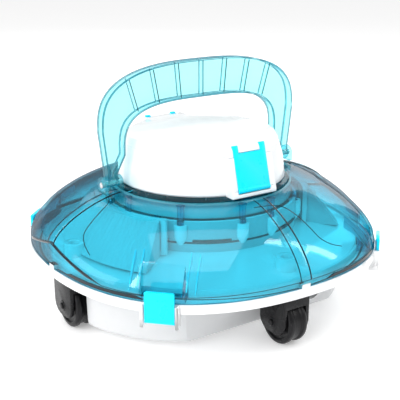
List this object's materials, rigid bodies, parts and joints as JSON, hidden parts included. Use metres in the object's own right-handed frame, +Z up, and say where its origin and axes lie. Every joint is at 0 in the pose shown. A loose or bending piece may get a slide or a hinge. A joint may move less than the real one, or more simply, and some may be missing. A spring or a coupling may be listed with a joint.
{
  "type": "pool cleaner",
  "caption": "Cordless robotic pool cleaner: clear tinted dome clipped to a white rim, round white pod on top, clear arched tilting handle, black wheels under a light grey hull.",
  "frame": {"origin": "on the floor under the middle of the body", "axes": "+X along the handle's pivot, -Y is the front with a pod latch, +Z up"},
  "size_m": [0.36, 0.36, 0.262],
  "materials": {
    "white_gloss": "glossy moulded white",
    "hull_grey": "satin moulded light grey",
    "filter_mesh": "fine woven mesh",
    "seal_rubber": "soft matt",
    "bracket_black": "satin black",
    "wheel_black": "satin black, lightly textured",
    "steel": "stainless",
    "latch_cyan": "glossy bright cyan",
    "dome_clear": "clear tinted polycarbonate",
    "handle_clear": "clear tinted polycarbonate",
    "blue_trim": "glossy blue",
    "battery_wrap": "shrink wrap",
    "board_green": "solder mask",
    "motor_can": "drawn steel can",
    "socket_black": "satin",
    "ballast_iron": "coated"
  },
  "bodies": {
    "chassis": {"lower_hull": "hull_grey", "rim_ring": "white_gloss", "dome_seal": "seal_rubber", "inner_tray": "white_gloss", "ring_wall": "white_gloss", "filter_frame_left": "white_gloss", "filter_frame_right": "white_gloss", "filter_mesh_left": "filter_mesh", "filter_mesh_right": "filter_mesh", "intake_duct_left": "hull_grey", "intake_duct_right": "hull_grey", "flap_pins": "steel", "pump_shroud_front": "hull_grey", "pump_shroud_rear": "hull_grey", "jet_nozzle_front": "hull_grey", "jet_nozzle_rear": "hull_grey", "bracket_front": "bracket_black", "bracket_rear": "bracket_black", "bracket_left": "bracket_black", "bracket_right": "bracket_black", "axles": "steel", "bracket_screws": "steel", "ballast_plates": "ballast_iron", "rim_latch_pins": "steel"},
    "dome": {"dome_cover": "dome_clear", "clevis_left": "handle_clear", "clevis_right": "handle_clear", "pivot_pins": "steel", "pod_housing": "white_gloss", "pod_screws": "steel", "pod_latch_pins": "steel", "battery_pack": "battery_wrap", "circuit_board": "board_green", "pump_motor_front": "motor_can", "pump_motor_rear": "motor_can", "charging_socket": "socket_black"},
    "lid": {"pod_lid": "white_gloss", "lid_seal": "seal_rubber"},
    "handle": {"handle": "handle_clear"},
    "pod_latch_front": {"pod_latch_front": "latch_cyan"},
    "pod_latch_rear": {"pod_latch_rear": "latch_cyan"},
    "rotor_front": {"pump_shaft_front": "steel", "impeller_front": "blue_trim"},
    "rotor_rear": {"pump_shaft_rear": "steel", "impeller_rear": "blue_trim"},
    "charging_cap": {"charging_cap": "seal_rubber"},
    "power_button": {"power_button": "blue_trim"},
    "intake_flap_left": {"intake_flap_left": "blue_trim"},
    "intake_flap_right": {"intake_flap_right": "blue_trim"},
    "wheel_front": {"wheel_front": "wheel_black"},
    "wheel_rear": {"wheel_rear": "wheel_black"},
    "wheel_left": {"wheel_left": "wheel_black"},
    "wheel_right": {"wheel_right": "wheel_black"},
    "rim_latch_front_left": {"rim_latch_front_left": "latch_cyan"},
    "rim_latch_front_right": {"rim_latch_front_right": "latch_cyan"},
    "rim_latch_rear_left": {"rim_latch_rear_left": "latch_cyan"},
    "rim_latch_rear_right": {"rim_latch_rear_right": "latch_cyan"}
  },
  "joints": [
    {"name": "dome_lift", "type": "slide", "parent": "chassis", "child": "dome", "axis": [0, 0, 1], "range_m": [0, 0.06]},
    {"name": "lid_lift", "type": "slide", "parent": "dome", "child": "lid", "axis": [0, 0, 1], "range_m": [0, 0.008]},
    {"name": "handle_tilt", "type": "hinge", "parent": "dome", "child": "handle", "pos_m": [0, 0, 0.144], "axis": [1, 0, 0], "range_deg": [-40, 40]},
    {"name": "pod_latch_front_swing", "type": "hinge", "parent": "dome", "child": "pod_latch_front", "pos_m": [0, -0.09481, 0.14455], "axis": [1, 0, 0], "range_deg": [0, 95]},
    {"name": "pod_latch_rear_swing", "type": "hinge", "parent": "dome", "child": "pod_latch_rear", "pos_m": [0, 0.09481, 0.14455], "axis": [-1, 0, 0], "range_deg": [0, 95]},
    {"name": "rim_latch_front_left_swing", "type": "hinge", "parent": "chassis", "child": "rim_latch_front_left", "pos_m": [-0.1352, -0.1352, 0.052], "axis": [0.7071, -0.7071, 0], "range_deg": [0, 75]},
    {"name": "rim_latch_front_right_swing", "type": "hinge", "parent": "chassis", "child": "rim_latch_front_right", "pos_m": [0.1352, -0.1352, 0.052], "axis": [0.7071, 0.7071, 0], "range_deg": [0, 75]},
    {"name": "rim_latch_rear_left_swing", "type": "hinge", "parent": "chassis", "child": "rim_latch_rear_left", "pos_m": [-0.1352, 0.1352, 0.052], "axis": [-0.7071, -0.7071, 0], "range_deg": [0, 75]},
    {"name": "rim_latch_rear_right_swing", "type": "hinge", "parent": "chassis", "child": "rim_latch_rear_right", "pos_m": [0.1352, 0.1352, 0.052], "axis": [-0.7071, 0.7071, 0], "range_deg": [0, 75]},
    {"name": "wheel_front_roll", "type": "hinge", "parent": "chassis", "child": "wheel_front", "pos_m": [0, -0.148, 0.024], "axis": [1, 0, 0], "continuous": true},
    {"name": "wheel_rear_roll", "type": "hinge", "parent": "chassis", "child": "wheel_rear", "pos_m": [0, 0.148, 0.024], "axis": [1, 0, 0], "continuous": true},
    {"name": "wheel_left_roll", "type": "hinge", "parent": "chassis", "child": "wheel_left", "pos_m": [-0.154, 0, 0.024], "axis": [1, 0, 0], "continuous": true},
    {"name": "wheel_right_roll", "type": "hinge", "parent": "chassis", "child": "wheel_right", "pos_m": [0.154, 0, 0.024], "axis": [1, 0, 0], "continuous": true},
    {"name": "rotor_front_spin", "type": "hinge", "parent": "dome", "child": "rotor_front", "pos_m": [0.062, 0, 0.1], "axis": [0, 0, 1], "continuous": true},
    {"name": "rotor_rear_spin", "type": "hinge", "parent": "dome", "child": "rotor_rear", "pos_m": [-0.062, 0, 0.1], "axis": [0, 0, 1], "continuous": true},
    {"name": "intake_flap_right_swing", "type": "hinge", "parent": "chassis", "child": "intake_flap_right", "pos_m": [0.135, 0, 0.0896], "axis": [0, 1, 0], "range_deg": [0, 60]},
    {"name": "intake_flap_left_swing", "type": "hinge", "parent": "chassis", "child": "intake_flap_left", "pos_m": [-0.135, 0, 0.0896], "axis": [0, -1, 0], "range_deg": [0, 60]},
    {"name": "charging_cap_swing", "type": "hinge", "parent": "dome", "child": "charging_cap", "pos_m": [0.0721, 0.05633, 0.171], "axis": [0.6157, -0.788, 0], "range_deg": [0, 105]},
    {"name": "power_button_press", "type": "slide", "parent": "dome", "child": "power_button", "axis": [-0.5299, -0.848, 0], "range_m": [0, 0.002], "stiffness_N_per_m": 300}
  ]
}
